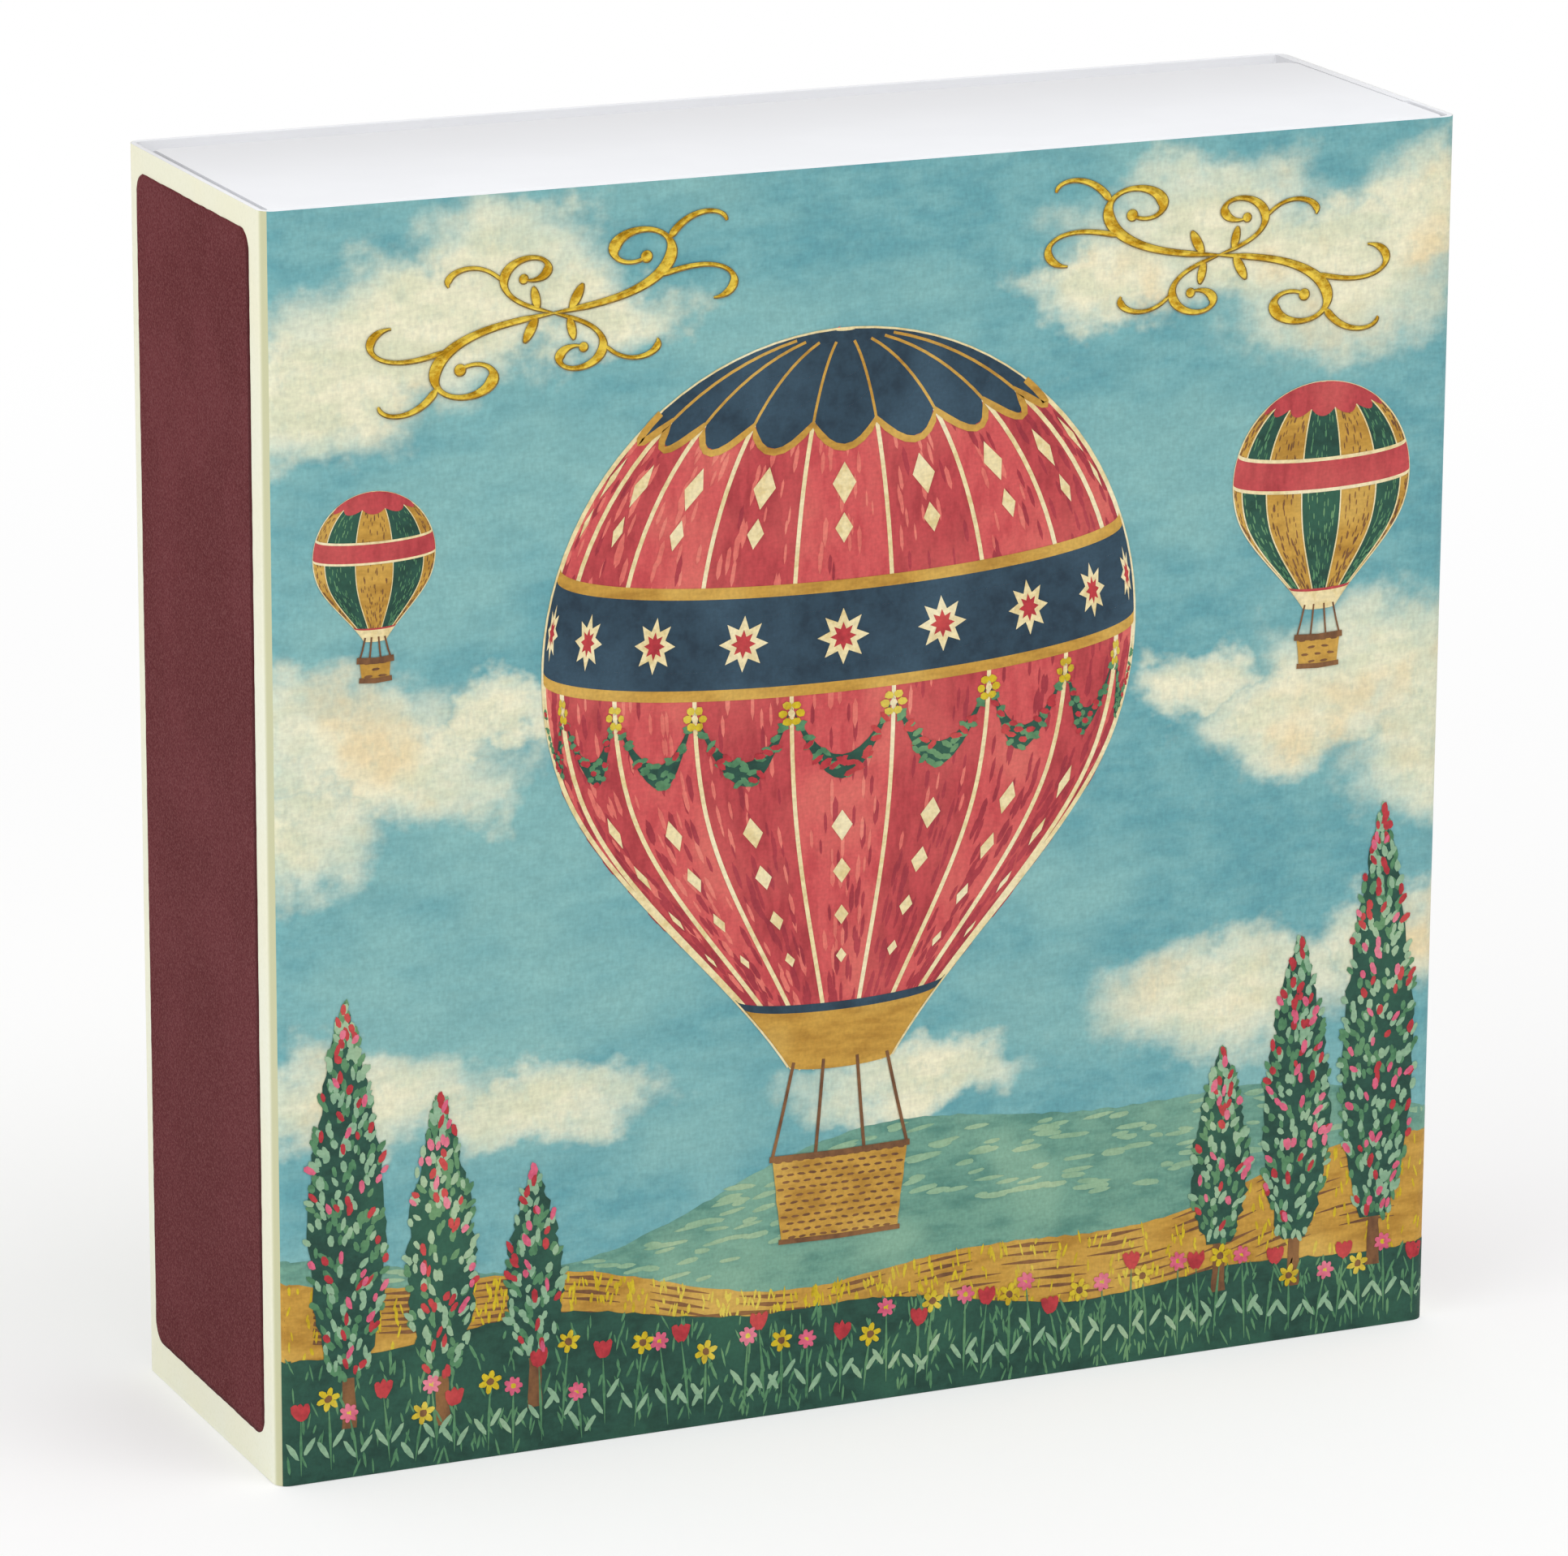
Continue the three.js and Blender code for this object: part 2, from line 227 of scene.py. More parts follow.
def striker_grit():
    """Safety-match striking coat, printed: red phosphorus and ground glass in a dark binder. Maroon, with a
    fine grit, a few bright glass specks, slow changes of tone from the screen, darker toward the bottom,
    and painted shade along its front and lower edges."""
    f = Finish("striker grit", 0.8, 0.12)
    grit = f.mottle(0.16)
    tone = f.tint("5d2326", "662b2f", 1.0, (f.mottle(12.0), 0.38, 0.66))
    tone = f.tint(tone, "562427", 0.35, (f.along("Z"), 95.0, 10.0))
    tone = f.tint(tone, "7d4144", 0.5, (grit, 0.40, 0.72))
    tone = f.tint(tone, "45191d", 0.45, (grit, 0.46, 0.30))
    scaled = f.add("VectorMath", {0: f.place, 1: (PER_METRE,) * 3}, operation="MULTIPLY")
    distance = f.add("TexVoronoi", {"Vector": scaled, "Scale": 1.5}, "Distance")
    picked = f.add("SeparateColor", {0: distance.node.outputs["Color"]})
    tone = f.tint(tone, "cdaaaa", 0.85, (distance, 0.15, 0.07), (picked, 0.88, 0.91))
    # Painted shade along the coat's front and lower edges.
    for edge, inner, outer in (("Y", -12.9, -13.4), ("Z", 4.1, 3.6)):
        tone = f.tint(tone, "3a171a", 0.6, (f.along(edge), inner, outer))
    return f.done(tone, grit, 0.05, 0.8, rough=(grit, 0.35, 0.7, 0.85, 0.6))


def foil():
    """Hot-stamped gold foil pressed into card: a metal skin, wrinkled by the paper under it."""
    f = Finish("gold foil", 0.3, 0.4, metallic=1.0)
    wrinkle = f.mottle((0.9, 0.9, 0.6))
    tone = f.tint("bf9022", "f1d152", 1.0, (wrinkle, 0.36, 0.64))
    tone = f.tint(tone, "8d6120", 0.4, (f.mottle(0.3, 2.0), 0.62, 0.78))
    return f.done(tone, wrinkle, 0.05, 0.6, rough=(wrinkle, 0.3, 0.7, 0.22, 0.40))


def painted_foil_shade():
    """Painted shade at the edge of a foil stamp, where the card is pushed down: dark brown under the gold.
    """
    f = Finish("painted shade at foil edge", 0.6, 0.2)
    return f.done(f.tint("6f5a2c", "8b7443", 1.0, (f.mottle(0.6, 2.0), 0.35, 0.65)))


def aspen():
    """Sawn and waxed aspen match splints: pale straw wood with fine grain along the stick."""
    f = Finish("aspen splint", 0.66, 0.3)
    tone = f.tint("d9bb88", "efdab0", 1.0, (f.mottle((4.0, 4.0, 60.0), 2.0), 0.35, 0.65))
    tone = f.tint(tone, "c09a64", 0.6, (f.mottle((0.3, 0.3, 9.0)), 0.52, 0.72))
    return f.done(tone, f.mottle((0.22, 0.22, 5.0)), 0.03, 0.6)


def match_head():
    """Dipped and dried match composition: matt coral red with a lumpy, slightly chalky skin."""
    f = Finish("match head", 0.75, 0.3)
    tone = f.tint("a8362f", "cf5647", 1.0, (f.mottle(1.2), 0.36, 0.66))
    tone = f.tint(tone, "e28d78", 0.5, (f.mottle(0.25, 2.0), 0.58, 0.75))
    return f.done(tone, f.mottle(0.5), 0.08, 0.8)


# x, z, half width and half height of each puff of cloud
CLOUDS = [
    (-44, 99, 15, 8), (-33, 103, 12, 8), (-52, 93, 12, 7), (-24, 99, 9, 5),
    (30, 102, 17, 8), (44, 97, 15, 9), (55, 103, 11, 8), (20, 97, 9, 5),
    (-50, 66, 14, 7), (-41, 61, 12, 6), (-55, 57, 12, 7), (-34, 66, 7, 4),
    (49, 62, 15, 8), (38, 57, 10, 6), (56, 53, 12, 8), (30, 62, 7, 4),
    (-48, 34, 16, 6), (-30, 31, 14, 5), (34, 33, 16, 7), (52, 36, 12, 6), (4, 29, 14, 4),
]


# The surface of the sleeve
def on_sleeve(s, z, lift=0.0):
    """A point on the sleeve's outside. s runs to the right from the middle of the front, along the card and
    round all four folds, or to the left if it is negative. lift is above the card."""
    side = 1 if s >= 0 else -1
    left = abs(s)
    x, y, turn = 0.0, -DEPTH / 2, 0.0
    for run in (FLAT, DEPTH - 2 * FOLD, WIDTH - 2 * FOLD, DEPTH - 2 * FOLD, FLAT):
        if left <= run + 1e-9:
            x, y = x + math.cos(turn) * left, y + math.sin(turn) * left
            break
        left -= run
        x += math.cos(turn) * run - math.sin(turn) * FOLD
        y += math.sin(turn) * run + math.cos(turn) * FOLD
        bend = min(left, QUARTER) / FOLD
        turn += bend
        left -= bend * FOLD
        x, y = x + math.sin(turn) * FOLD, y - math.cos(turn) * FOLD
        if left <= 0.0:
            break
    return Vector((side * (x + math.sin(turn) * lift), y - math.cos(turn) * lift, z))


def put(name, data):
    """Puts an object with this mesh, lamp or lens into the scene."""
    o = bpy.data.objects.new(name, data)
    bpy.context.scene.collection.objects.link(o)
    return o


def make(name, vertices, faces, material, body="sleeve", smooth=True):
    """Makes a mesh piece from millimetres, gives it a material and hangs it on a body."""
    mesh = bpy.data.meshes.new(name)
    mesh.from_pydata([Vector(v) * MM for v in vertices], [], faces)
    bm = bmesh.new()
    bm.from_mesh(mesh)
    bmesh.ops.remove_doubles(bm, verts=bm.verts, dist=1e-7)
    bmesh.ops.triangulate(bm, faces=[f for f in bm.faces if len(f.verts) > 4])
    for f in bm.faces:
        f.smooth = smooth
    bm.to_mesh(mesh)
    bm.free()
    mesh.materials.append(material)
    o = put(name, mesh)
    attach(o, body)
    return o


class Sheet:
    """Ink shapes of one colour on the front, at one height above the card, that become one piece."""

    def __init__(self, layer):
        self.v, self.f, self.base, self.count = [], [], INK + LAYER * layer, 0

    @property
    def lift(self):
        """The height of this colour, a hair higher for each next touch, so that no two lie in one plane."""
        return self.base + TOUCH * (self.count * 0.618034 % 1.0)

    def poly(self, points):
        at = len(self.v)
        self.count += 1
        area = sum(p[0] * q[1] - q[0] * p[1] for p, q in zip(points, points[1:] + points[:1]))
        ring = points if area > 0 else points[::-1]
        self.v += [on_sleeve(x, z, self.lift) for x, z in ring]
        self.f.append(tuple(range(at, at + len(ring))))

    def dome(self, points, rise):
        """A shape that rises to a point over its middle."""
        at, n = len(self.v), len(points)
        self.poly(points)
        self.f.pop()
        middle = (sum(p[0] for p in points) / n, sum(p[1] for p in points) / n)
        self.v.append(on_sleeve(*middle, self.lift + rise))
        self.f += [(at + i, at + (i + 1) % n, at + n) for i in range(n)]

    def strip(self, left, right, left_rise=None, right_rise=None):
        """A band between two lines of the same number of points. A rise lifts each point of its line."""
        self.count += 1
        at, n = len(self.v), len(left)
        for side, rise in ((left, left_rise), (right, right_rise)):
            self.v += [on_sleeve(x, z, self.lift + up) for (x, z), up in zip(side, rise or [0.0] * n)]
        for i in range(n - 1):
            self.f.append((at + i, at + i + 1, at + n + i + 1, at + n + i))

    def line(self, points, width, taper=0.0):
        """A stroke along points. taper is the share of its length that each end narrows over."""
        left, right = [], []
        n = len(points)
        for i, (x, z) in enumerate(points):
            a = points[max(0, i - 1)]
            b = points[min(n - 1, i + 1)]
            dx, dz = b[0] - a[0], b[1] - a[1]
            size = math.hypot(dx, dz) or 1.0
            t = i / (n - 1)
            w = width / 2 * (min(1.0, 0.15 + min(t, 1 - t) / taper) if taper else 1.0)
            left.append((x - dz / size * w, z + dx / size * w))
            right.append((x + dz / size * w, z - dx / size * w))
        self.strip(right, left)

    def dab(self, x, z, length, width, angle, points=8):
        """One touch of a brush: a soft, uneven oval, inside the picture."""
        if not (BRUSH_LEFT < x < BRUSH_RIGHT and 0.3 < z < HEIGHT - 0.3):
            return
        c, s = math.cos(angle), math.sin(angle)
        ring = []
        for i in range(points):
            a = 2 * math.pi * i / points
            k = 1 + rng.uniform(-0.15, 0.15)
            u, v = length / 2 * math.cos(a) * k, width / 2 * math.sin(a) * k
            px, pz = x + u * c - v * s, z + u * s + v * c
            ring.append((min(max(px, PRINT_LEFT), PRINT_RIGHT), min(max(pz, 0.05), HEIGHT - 0.05)))
        self.poly(ring)

    def done(self, name, material):
        return make(name, self.v, self.f, material, smooth=False)


def rough_edge(points, amount, step=0.9):
    """Breaks an outline into short steps and shakes them a little, as a brush edge does."""
    out = []
    for (ax, az), (bx, bz) in zip(points, points[1:] + points[:1]):
        n = max(1, int(math.hypot(bx - ax, bz - az) / step))
        for i in range(n):
            x, z = ax + (bx - ax) * i / n, az + (bz - az) * i / n
            out.append((x + rng.uniform(-amount, amount), z + rng.uniform(-amount, amount)))
    return out


def round_fold(angle):
    """The place along the card at so many degrees round the first fold."""
    return FLAT + FOLD * math.radians(angle)


def arc(cx, cy, r, start, end, steps):
    out = []
    for i in range(steps + 1):
        a = math.radians(start + (end - start) * i / steps)
        out.append((cx + r * math.cos(a), cy + r * math.sin(a)))
    return out


def rounded(low, high, r, steps):
    """The outline of a rectangle with round corners, from its lower right corner on."""
    x0, y0, x1, y1 = low[0] + r, low[1] + r, high[0] - r, high[1] - r
    ring = []
    for i, (cx, cy) in enumerate(((x1, y0), (x1, y1), (x0, y1), (x0, y0))):
        ring += arc(cx, cy, r, 90 * i - 90, 90 * i, steps)
    return ring


def grid(rows, columns, at=0, closed=False):
    """Faces between rows of points that follow each other from number at on. In a closed grid the last
    point of each row joins its first."""
    faces = []
    for a in range(at, at + (rows - 1) * columns, columns):
        for i in range(columns if closed else columns - 1):
            k = (i + 1) % columns
            faces.append((a + i, a + k, a + columns + k, a + columns + i))
    return faces


# The sleeve
def build_sleeve(card, cream):
    """The card itself: outside and inside walls with softly worn cut edges, and the glue flap inside."""
    worn, wall = 0.09, 12.0
    profile = [(BOARD, wall), (BOARD, worn), (BOARD - worn * 0.35, worn * 0.3), (BOARD - worn, 0.0),
               (worn, 0.0), (worn * 0.3, worn * 0.35), (0.0, worn), (0.0, wall)]
    rows = profile + [(inset, HEIGHT - z) for inset, z in reversed(profile)] + profile[:1]
    vertices = []
    for inset, z in rows:
        x, y = WIDTH / 2 - inset, DEPTH / 2 - inset
        ring = rounded((-x, -y), (x, y), max(0.02, FOLD - inset), 12)
        vertices += [(*p, z) for p in ring]
    sleeve = make("sleeve_card", vertices, grid(len(rows), len(ring), closed=True), card)
    x0, x1 = WIDTH / 2 - 2 * BOARD, WIDTH / 2 - BOARD + 0.02
    y0, y1 = -DEPTH / 2 + BOARD + 7.0, DEPTH / 2 - BOARD
    z0, z1, snip, slope = 0.02, HEIGHT - 0.02, 0.6, 3.0
    outline = [(y1, z0), (y1, z1), (y0 + snip, z1), (y0, HEIGHT - slope), (y0, slope), (y0 + snip, z0)]
    flap = [(x, *p) for x in (x0, x1) for p in outline]
    k = len(outline)
    sides = [tuple(range(k)), tuple(range(2 * k - 1, k - 1, -1))]
    make("glue_flap", flap, sides + grid(2, k, closed=True), card, smooth=False)
    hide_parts("sleeve")

    # The cream print starts where the picture ends on the left fold, and runs round the back to the right.
    total = 2 * (WIDTH + DEPTH) - 8 * FOLD + 4 * QUARTER
    start, end = -PRINT_START, total - round_fold(64)
    folds = [FLAT]
    for run in (DEPTH, WIDTH, DEPTH):
        folds.append(folds[-1] + QUARTER + run - 2 * FOLD)
    facets = {fold + QUARTER * i / 12 for fold in folds for i in range(13)}
    marks = sorted({start, end} | {s for s in facets if start < s < end})
    levels = (0.03, 3.0, 30.0, 55.0, 80.0, 107.0, HEIGHT - 0.03)
    film = [on_sleeve(-s, z, INK * 0.8) for s in marks for z in levels]
    make("sleeve_cream_print", film, grid(len(marks), len(levels)), cream)


def build_striker(name, side, grit):
    """The striking coat: a slightly raised patch with round corners and a soft, uneven edge."""
    low, high = (-DEPTH / 2 + 3.0, 3.5), (DEPTH / 2 - 2.6, HEIGHT - 2.1)
    corner, soft = 1.8, 3.0
    outline = rough_edge(rounded(low, high, corner, 8), 0.035, 0.8)
    middle = ((low[0] + high[0]) / 2, (low[1] + high[1]) / 2)
    vertices = []
    # how far in and how high, from the edge of the coat to its flat top
    rows = ((0.0, 0.0), (0.05, 0.09), (0.16, 0.13), (0.5, 0.115))
    for inward, up in rows:
        for y, z in outline:
            ky = max(-1.0, min(1.0, (middle[0] - y) / soft))
            kz = max(-1.0, min(1.0, (middle[1] - z) / soft))
            vertices.append((side * (WIDTH / 2 + up), y + ky * inward, z + kz * inward))
    n = len(outline)
    faces = grid(len(rows), n, closed=True) + [tuple(range(len(vertices) - n, len(vertices)))]
    if side < 0:
        faces = [f[::-1] for f in faces]
    o = make(name, vertices, faces, grit)
    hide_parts(name.replace("coat", "striker"))


# The tray: its gap to the sleeve, how far it lies to the right, its ends, and the radii of its folds
TRAY_CLEAR = 0.24
TRAY_SHIFT = 0.21
TRAY_X = TRAY_SHIFT - BOARD / 2
TRAY_HALF = (WIDTH - 3 * BOARD - 2 * TRAY_CLEAR) / 2
TRAY_FRONT = -(DEPTH - 2 * BOARD - 2 * TRAY_CLEAR) / 2
TRAY_BACK = -TRAY_FRONT
TRAY_LOW, TRAY_HIGH = 0.35, HEIGHT - 0.07
END_FOLD, SIDE_FOLD, SLIT = 3.8, 1.0, 0.05
CREASE = math.radians(34)


def loft(name, rings, material):
    """A closed piece of the tray through rings of the same number of points, capped at both ends."""
    n = len(rings[0])
    vertices = [p for ring in rings for p in ring]
    caps = [tuple(range(n)), tuple(range(len(vertices) - 1, len(vertices) - n - 1, -1))]
    faces = caps + grid(len(rings), n, closed=True)
    o = make(name, vertices, faces, material, "drawer")
    bm = bmesh.new()
    bm.from_mesh(o.data)
    bmesh.ops.recalc_face_normals(bm, faces=bm.faces)
    for e in bm.edges:
        if len(e.link_faces) == 2 and e.calc_face_angle(0) > CREASE:
            e.smooth = False
    bm.to_mesh(o.data)
    bm.free()
    return o


def mirrored(half, low, high):
    """A closed outline from its upper half, with the same half upside down below."""
    return half + [(p, low + high - z) for p, z in reversed(half)]


def tray_ends(card):
    """The floor with both end walls folded up and rolled over at the rim, as one run of card."""
    hem, hem_end, bow = 0.75, TRAY_BACK - 6.0, 0.10
    r, high = END_FOLD, TRAY_HIGH
    xs = [-(TRAY_HALF - SLIT), -(TRAY_HALF - 0.6), -(TRAY_HALF - 0.8), -(TRAY_HALF - SIDE_FOLD)]
    xs += [x * 9.0 for x in range(-5, 6)] + [-x for x in reversed(xs)]
    rings = []
    for x in xs:
        over = max(0.0, abs(x) - (TRAY_HALF - SIDE_FOLD))
        back = TRAY_BACK - SIDE_FOLD + math.sqrt(max(0.0, SIDE_FOLD ** 2 - over ** 2))
        top = high - bow * (1 - (x / TRAY_HALF) ** 2)
        half = arc(back - r, high - r, r, 0, 90, 16) + [(4.0, top), (-8.0, top)]
        half += arc(TRAY_FRONT + hem, high - hem, hem, 90, 270, 10)
        half += [(hem_end, high - 2 * hem), (hem_end, high - 2 * hem + BOARD)]
        half += arc(TRAY_FRONT + hem, high - hem, hem - BOARD, 270, 90, 8)
        half += [(-8.0, top - BOARD), (4.0, top - BOARD)] + arc(back - r, high - r, r - BOARD, 90, 0, 16)
        rings.append([(TRAY_X + x, y, z) for y, z in mirrored(half, TRAY_LOW, high)])
    return loft("tray_floor_and_ends", rings, card)


def tray_wall(name, side, card):
    """One side wall, with the two tabs that turn in behind the end walls at its corners."""
    r, tab = 0.9, 9.0
    r_in = r - BOARD
    ys = [TRAY_FRONT + BOARD, -8.0, 0.0, 8.0]
    ys += [TRAY_BACK - END_FOLD + END_FOLD * math.sin(math.radians(a)) for a in (0, 12, 24, 36, 46)]
    ys += [TRAY_BACK - SIDE_FOLD * (1 - math.sin(math.radians(a))) for a in (0, 15, 30, 45, 60, 74, 86)]
    rings = []
    for y in ys:
        over = max(0.0, y - (TRAY_BACK - SIDE_FOLD))
        out = TRAY_HALF - SIDE_FOLD + math.sqrt(max(0.0, SIDE_FOLD ** 2 - over ** 2))
        inn = TRAY_HALF - SIDE_FOLD + math.sqrt(max(0.0, (SIDE_FOLD - BOARD) ** 2 - over ** 2))
        deep = max(0.0, y - (TRAY_BACK - END_FOLD))
        drop = END_FOLD - math.sqrt(max(0.0, END_FOLD ** 2 - deep ** 2))
        low, high = TRAY_LOW + BOARD + drop, TRAY_HIGH - BOARD - drop
        half = arc(out - r, high - r, r, 0, 90, 8) + [(out - tab, high), (out - tab, high - BOARD)]
        half += arc(inn - r_in, high - BOARD - r_in, r_in, 90, 0, 8)
        rings.append([(TRAY_X + side * x, y, z) for x, z in mirrored(half, low, high)])
    return loft(name, rings, card)


# The matches
def build_matches(wood, head):
    """Square sawn splints with dipped heads, one for each match of the CAD model, a little uneven."""
    half, chamfer, saw_edge, dip, sides = 1.2, 0.16, 0.12, 7.2, 14
    # how far up the head, 0 to 1, and its radius there
    rows = ((0.0, 1.23), (0.05, 1.38), (0.18, 1.68), (0.34, 1.86), (0.52, 1.93), (0.68, 1.88), (0.82, 1.62),
            (0.92, 1.18), (0.98, 0.6))
    splints, splint_faces, heads, head_faces = [], [], [], []
    names = sorted(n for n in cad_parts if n.startswith("match_"))
    for name in names:
        low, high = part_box(name)
        cx, cy = (low.x + high.x) / 2 / MM, (low.y + high.y) / 2 / MM
        z0, z1 = low.z / MM, high.z / MM
        turn = rng.uniform(-0.05, 0.05)
        lean = (rng.uniform(-0.05, 0.05), rng.uniform(-0.05, 0.05))
        c, s = math.cos(turn), math.sin(turn)
        at = len(splints)
        levels = [z0 + rng.uniform(0, 0.05), z0 + 0.3, z0 + 30, z0 + 60, z1 - 4.0]
        for j, z in enumerate(levels):
            k = half - (saw_edge if j == 0 else 0.0)
            e = k - chamfer
            share = (z - z0) / 100
            for x, y in ((-k, -e), (-e, -k), (e, -k), (k, -e), (k, e), (e, k), (-e, k), (-k, e)):
                px, py = x * c - y * s + lean[0] * share, x * s + y * c + lean[1] * share
                splints.append((cx + px, cy + py, z))
        splint_faces += [tuple(range(at + 7, at - 1, -1))] + grid(len(levels), 8, at, closed=True)
        at = len(heads)
        length = dip - rng.uniform(0, 0.6)
        cx, cy, tip = cx + lean[0], cy + lean[1], z1 - 0.02
        for t, radius in rows:
            for i in range(sides):
                a = 2 * math.pi * i / sides
                square = 1.0 + (0.10 * math.cos(4 * a) ** 2 if t < 0.1 else 0.0)
                k = radius * square * (1 + rng.uniform(-0.02, 0.0))
                jag = rng.uniform(-0.25, 0.25) if t == 0.0 else 0.0
                heads.append((cx + k * math.cos(a), cy + k * math.sin(a), tip - length * (1 - t) + jag))
        head_faces += grid(len(rows), sides, at, closed=True)
        last = len(heads) - sides
        head_faces += [(last + i, last + (i + 1) % sides, len(heads)) for i in range(sides)]
        heads.append((cx, cy, tip))
    o = make("match_splints", splints, splint_faces, wood, "drawer", smooth=False)
    make("match_heads", heads, head_faces, head, "drawer")
    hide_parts(*names)


# The picture
def build_sky():
    """The printed sky, from just round the left fold to nearly the whole of the right one."""
    marks = [PRINT_START, -round_fold(22), -round_fold(11), -FLAT] + [x * 5.0 for x in range(-10, 11)]
    marks += [round_fold(a) for a in range(0, 61, 6)]
    levels = [0.03] + [10.0 * i for i in range(1, 11)] + [HEIGHT - 0.03]
    vertices = []
    for z in levels:
        edge = round_fold(60 + 7.5 * z / HEIGHT)
        vertices += [on_sleeve(s, z, INK) for s in marks + [edge]]
    make("picture_sky", vertices, grid(len(levels), len(marks) + 1), sky_ink())


def hill(sheet, top):
    """Land from the bottom edge up to the line top(x), wrapped onto both folds."""
    right, step, shake = round_fold(60), 0.8, 0.10
    n = int((right - PRINT_START) / step)
    xs = [PRINT_START + (right - PRINT_START) * i / n for i in range(n + 1)]
    xs += [s * round_fold(a) for s in (-1, 1) for a in (0, 12, 24)] + [round_fold(36), round_fold(48)]
    xs.sort()
    line = [(x, max(0.2, top(x) + rng.uniform(-shake, shake))) for x in xs]
    sheet.strip([(x, 0.04) for x in xs], line)


def far_hill(x):
    return 21.5 + 4.2 * math.sin(x * 0.055 + 0.6) + 1.6 * math.sin(x * 0.13 + 2.0)


def field_hill(x):
    return 15.2 + 3.4 * math.sin(x * 0.048 - 1.7) + 0.9 * math.sin(x * 0.17)


def near_hill(x):
    return 9.4 - 2.4 * math.sin(x * 0.045 + 0.2) + 0.7 * math.sin(x * 0.19 + 1.0)


def brush(sheet, x, z, length, width, angle, sway, points):
    """One touch at a place, of a length, width and angle that vary between bounds."""
    sheet.dab(x, z, rng.uniform(*length), rng.uniform(*width), angle + rng.uniform(-sway, sway), points)


def build_land(inks):
    """Three rolling hills, with furrows, wheat and grass touched in with a small brush."""
    far, field, near = Sheet(1), Sheet(2), Sheet(6)
    hill(far, far_hill)
    hill(field, field_hill)
    hill(near, near_hill)
    far.done("picture_far_hills", inks["sea"])
    field.done("picture_fields", inks["ochre"])
    near.done("picture_near_hill", inks["green"])

    rows, furrow, lit, wheat = Sheet(3), Sheet(3), Sheet(7), Sheet(4)
    for _ in range(260):
        x = rng.uniform(-54, 54.4)
        z = far_hill(x) - rng.uniform(0.4, 7.5)
        if z > field_hill(x) + 0.3:
            brush(rows, x, z, (1.4, 3.2), (0.35, 0.6), 0.12 * math.cos(x * 0.055), 0.1, 8)
    rows.done("picture_far_grass", inks["mint"])
    for k in range(9):
        line = []
        for i in range(40):
            x = -54.2 + 108.6 * i / 39
            z = field_hill(x) - 0.5 - k * (0.55 + 0.0035 * (x + 54))
            if z > near_hill(x) - 0.5:
                line.append((x, z))
        for a in range(0, len(line) - 3, 3):
            if rng.random() < 0.85:
                furrow.line(line[a:a + 3], rng.uniform(0.25, 0.42), 0.4)
    furrow.done("picture_furrows", inks["bark"])
    for _ in range(620):
        x = rng.uniform(-54, 54.4)
        z = rng.uniform(0.6, max(1.0, near_hill(x) - 0.3))
        brush(lit, x, z, (0.8, 1.9), (0.16, 0.30), math.pi / 2, 0.5, 6)
    lit.done("picture_grass", inks["leaf"])
    for _ in range(520):
        x = rng.uniform(-54, 54.4)
        z = rng.uniform(near_hill(x), field_hill(x) - 0.2)
        brush(wheat, x, z, (0.6, 1.5), (0.16, 0.34), math.pi / 2, 0.35, 6)
    wheat.done("picture_wheat", inks["yellow"])


def poplar_width(t, wide):
    """Half the width of a poplar at t of its height, 0 to 1."""
    return wide * math.sin(math.pi * min(1.0, 0.06 + t * 0.94)) ** 0.7 * (1 - 0.42 * t)


def build_poplars(inks, shapes):
    """Tall narrow trees: a dark mass, then leaves in two greens and blossom in two reds."""
    mass, trunk = Sheet(8), Sheet(7)
    # x, foot, height and half width of each tree
    places = ((-48.5, 6.0, 33.0, 4.2), (-40.0, 5.0, 25.0, 3.8), (-31.5, 5.5, 17.0, 3.2),
              (34.0, 7.0, 18.0, 3.4), (41.5, 6.5, 28.0, 4.0), (49.5, 7.5, 38.0, 4.3))
    for x, z, tall, wide in places:
        foot, fork = z - 1.5, z + 6
        trunk.poly(rough_edge([(x - 0.7, foot), (x + 0.7, foot), (x + 0.4, fork), (x - 0.4, fork)], 0.06))
        crown = z + 3.0
        outline = [(poplar_width(i / 39, wide), crown + i / 39 * tall) for i in range(40)]
        ring = [(x + w + rng.uniform(-0.25, 0.25), h) for w, h in outline]
        ring += [(x - w + rng.uniform(-0.25, 0.25), h) for w, h in reversed(outline)]
        mass.poly([(max(-54.4, min(54.8, a)), b) for a, b in ring])
        for _ in range(int(tall * wide * 2.6)):
            t = rng.random() ** 0.9
            w = poplar_width(t, wide) * 1.08
            px, pz = x + rng.uniform(-w, w), crown + t * tall
            pick = rng.random()
            angle = math.pi / 2 + (px - x) / wide * -0.8 + rng.uniform(-0.5, 0.5)
            key = "leaf" if pick < 0.45 else "light" if pick < 0.8 else "red" if pick < 0.92 else "pink"
            shapes[key].dab(px, pz, rng.uniform(0.8, 1.35), rng.uniform(0.42, 0.66), angle, 7)
    trunk.done("picture_trunks", inks["bark"])
    mass.done("picture_tree_shade", inks["green"])


# The balloons: where the cone begins under the round part, and where the mouth is, both times the radius
CONE, MOUTH = -0.35, -1.34


def balloon_width(t, r):
    """Half the width of the balloon at t times r above its middle."""
    if t >= CONE:
        return r * math.sqrt(max(0.0, 1 - t * t))
    u = CONE - t
    start = (2 * u ** 3 - 3 * u ** 2 + 1) * 0.9367 - (u ** 3 - 2 * u ** 2 + u) * 0.374
    end = (3 * u ** 2 - 2 * u ** 3) * 0.17 - (u ** 3 - u ** 2) * 0.62
    return r * (start + end)


